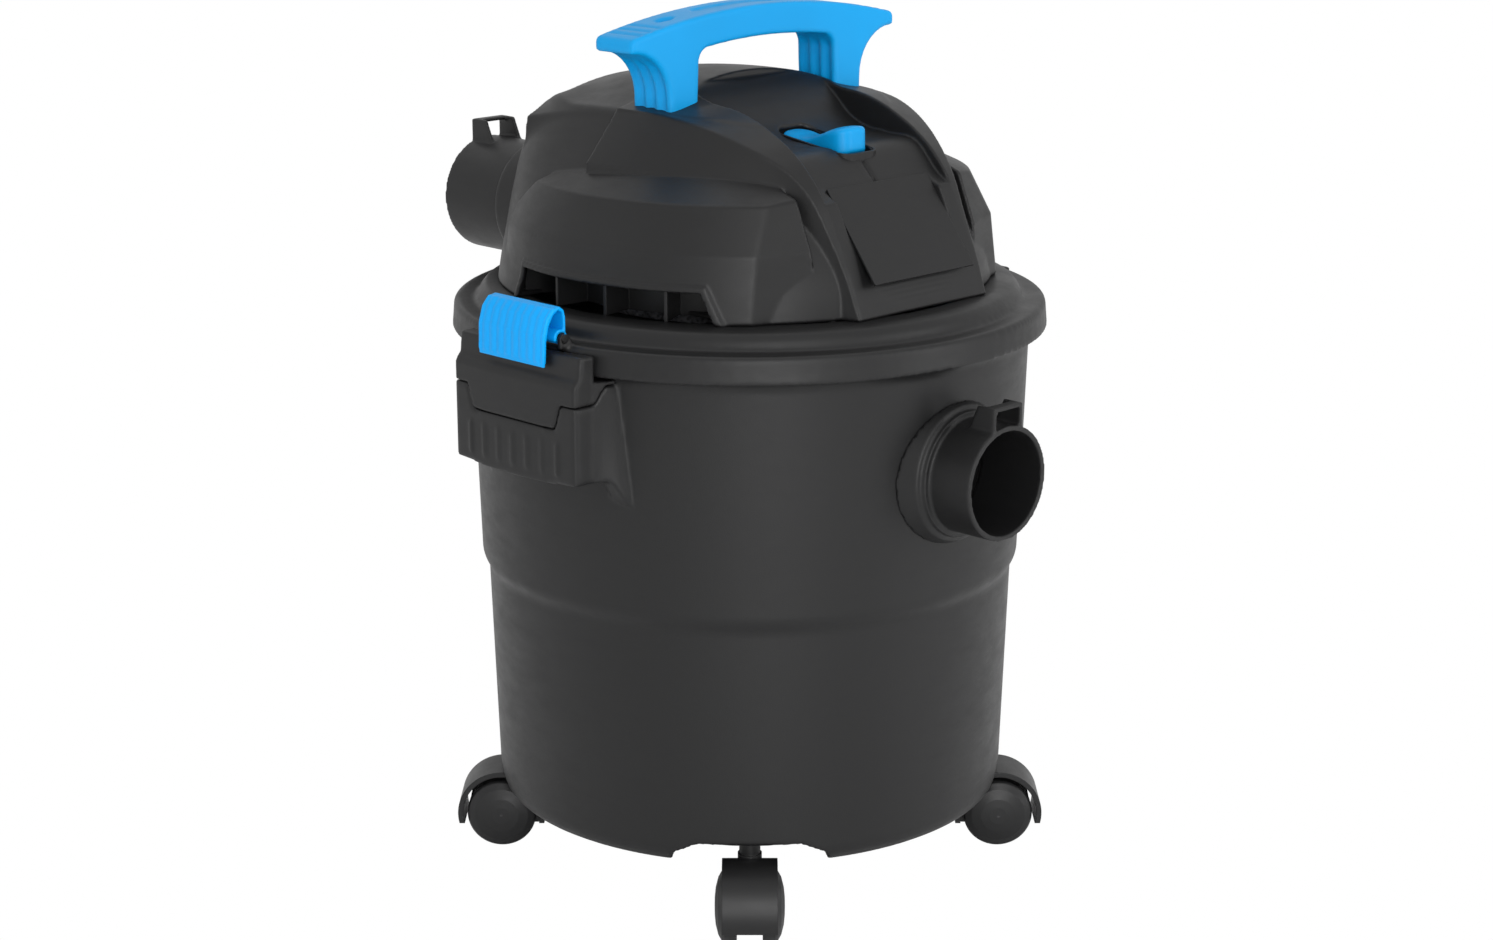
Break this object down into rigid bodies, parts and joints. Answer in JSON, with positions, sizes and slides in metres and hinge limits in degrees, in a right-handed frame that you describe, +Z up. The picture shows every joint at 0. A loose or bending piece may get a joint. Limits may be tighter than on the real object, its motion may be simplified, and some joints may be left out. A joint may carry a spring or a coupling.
{
  "type": "shop vacuum",
  "caption": "Wet and dry shop vacuum: drum on twin-wheel casters, clamped motor head with carry handle, rocker switch, hose inlet and blower port.",
  "frame": {"origin": "on the drum's axis at floor level", "axes": "+Z up along the drum's axis; -Y towards the hose inlet; the latches face -X and +X"},
  "size_m": [0.3536, 0.38, 0.4895],
  "materials": {
    "charcoal_plastic": "fine matt texture",
    "blue_plastic": "satin",
    "latch_blue": "satin",
    "caster_plastic": "satin",
    "rubber": "matt",
    "steel": "plain",
    "lamination": "varnished stack",
    "copper": "lacquered winding",
    "fan_metal": "pressed sheet",
    "foam": "open-cell foam",
    "insulating_plastic": "moulded",
    "float_plastic": "translucent white moulding"
  },
  "bodies": {
    "tank": {"drum": "charcoal_plastic", "drum_base": "charcoal_plastic", "drum_latch_boxes": "charcoal_plastic", "inlet_port": "charcoal_plastic", "inlet_seal": "rubber", "inlet_deflector": "charcoal_plastic", "caster_sockets": "caster_plastic", "catch_block_left": "charcoal_plastic", "catch_block_right": "charcoal_plastic"},
    "head": {"lid_flange": "charcoal_plastic", "lid_gasket": "rubber", "housing_screws": "steel", "head_housing": "charcoal_plastic", "front_panel": "charcoal_plastic", "exhaust_port": "charcoal_plastic", "cord_gland": "rubber", "handle": "blue_plastic", "handle_screws": "steel", "switch_bezel": "charcoal_plastic", "switch_body": "insulating_plastic", "motor_gasket": "rubber", "fan_shroud": "charcoal_plastic", "stator": "lamination", "field_coils": "copper", "bearings": "steel", "motor_bracket": "steel", "brush_holders": "insulating_plastic", "sound_foam": "foam", "float_cage": "charcoal_plastic", "foam_filter": "foam", "filter_clamp": "charcoal_plastic", "latch_pin_left": "caster_plastic", "latch_pin_right": "caster_plastic", "vent_grille_left": "charcoal_plastic", "vent_grille_right": "charcoal_plastic"},
    "latch_l": {"latch_left": "latch_blue"},
    "latch_r": {"latch_right": "latch_blue"},
    "switch": {"rocker": "blue_plastic"},
    "rotor": {"impeller": "fan_metal", "motor_shaft": "steel", "armature": "lamination", "commutator": "copper", "cooling_fan": "fan_metal"},
    "float": {"float_cup": "float_plastic"},
    "caster_front_left": {"caster_hood_front_left": "caster_plastic", "caster_stem_front_left": "steel"},
    "wheels_front_left": {"caster_wheels_front_left": "caster_plastic", "caster_axle_front_left": "steel"},
    "caster_front_right": {"caster_hood_front_right": "caster_plastic", "caster_stem_front_right": "steel"},
    "wheels_front_right": {"caster_wheels_front_right": "caster_plastic", "caster_axle_front_right": "steel"},
    "caster_rear_right": {"caster_hood_rear_right": "caster_plastic", "caster_stem_rear_right": "steel"},
    "wheels_rear_right": {"caster_wheels_rear_right": "caster_plastic", "caster_axle_rear_right": "steel"},
    "caster_rear_left": {"caster_hood_rear_left": "caster_plastic", "caster_stem_rear_left": "steel"},
    "wheels_rear_left": {"caster_wheels_rear_left": "caster_plastic", "caster_axle_rear_left": "steel"}
  },
  "joints": [
    {"name": "head_lift", "type": "slide", "parent": "tank", "child": "head", "axis": [0, 0, 1], "range_m": [0, 0.16]},
    {"name": "latch_left_hinge", "type": "hinge", "parent": "head", "child": "latch_l", "pos_m": [-0.1635, 0, 0.3315], "axis": [0, 1, 0], "range_deg": [0, 50]},
    {"name": "latch_right_hinge", "type": "hinge", "parent": "head", "child": "latch_r", "pos_m": [0.1635, 0, 0.3315], "axis": [0, -1, 0], "range_deg": [0, 50]},
    {"name": "rocker_pivot", "type": "hinge", "parent": "head", "child": "switch", "pos_m": [0, -0.0565, 0.41503], "axis": [1, 0, 0], "range_deg": [0, 18]},
    {"name": "rotor_spin", "type": "hinge", "parent": "head", "child": "rotor", "pos_m": [0, 0, 0.38], "axis": [0, 0, 1], "continuous": true},
    {"name": "float_rise", "type": "slide", "parent": "head", "child": "float", "axis": [0, 0, 1], "range_m": [0, 0.049]},
    {"name": "swivel_front_left", "type": "hinge", "parent": "tank", "child": "caster_front_left", "pos_m": [-0.09405, -0.09405, 0.06], "axis": [0, 0, 1], "continuous": true},
    {"name": "roll_front_left", "type": "hinge", "parent": "caster_front_left", "child": "wheels_front_left", "pos_m": [-0.10253, -0.10253, 0.02], "axis": [0.7071, -0.7071, 0], "continuous": true},
    {"name": "swivel_front_right", "type": "hinge", "parent": "tank", "child": "caster_front_right", "pos_m": [0.09405, -0.09405, 0.06], "axis": [0, 0, 1], "continuous": true},
    {"name": "roll_front_right", "type": "hinge", "parent": "caster_front_right", "child": "wheels_front_right", "pos_m": [0.10253, -0.10253, 0.02], "axis": [0.7071, 0.7071, 0], "continuous": true},
    {"name": "swivel_rear_right", "type": "hinge", "parent": "tank", "child": "caster_rear_right", "pos_m": [0.09405, 0.09405, 0.06], "axis": [0, 0, 1], "continuous": true},
    {"name": "roll_rear_right", "type": "hinge", "parent": "caster_rear_right", "child": "wheels_rear_right", "pos_m": [0.10253, 0.10253, 0.02], "axis": [-0.7071, 0.7071, 0], "continuous": true},
    {"name": "swivel_rear_left", "type": "hinge", "parent": "tank", "child": "caster_rear_left", "pos_m": [-0.09405, 0.09405, 0.06], "axis": [0, 0, 1], "continuous": true},
    {"name": "roll_rear_left", "type": "hinge", "parent": "caster_rear_left", "child": "wheels_rear_left", "pos_m": [-0.10253, 0.10253, 0.02], "axis": [-0.7071, -0.7071, 0], "continuous": true}
  ]
}
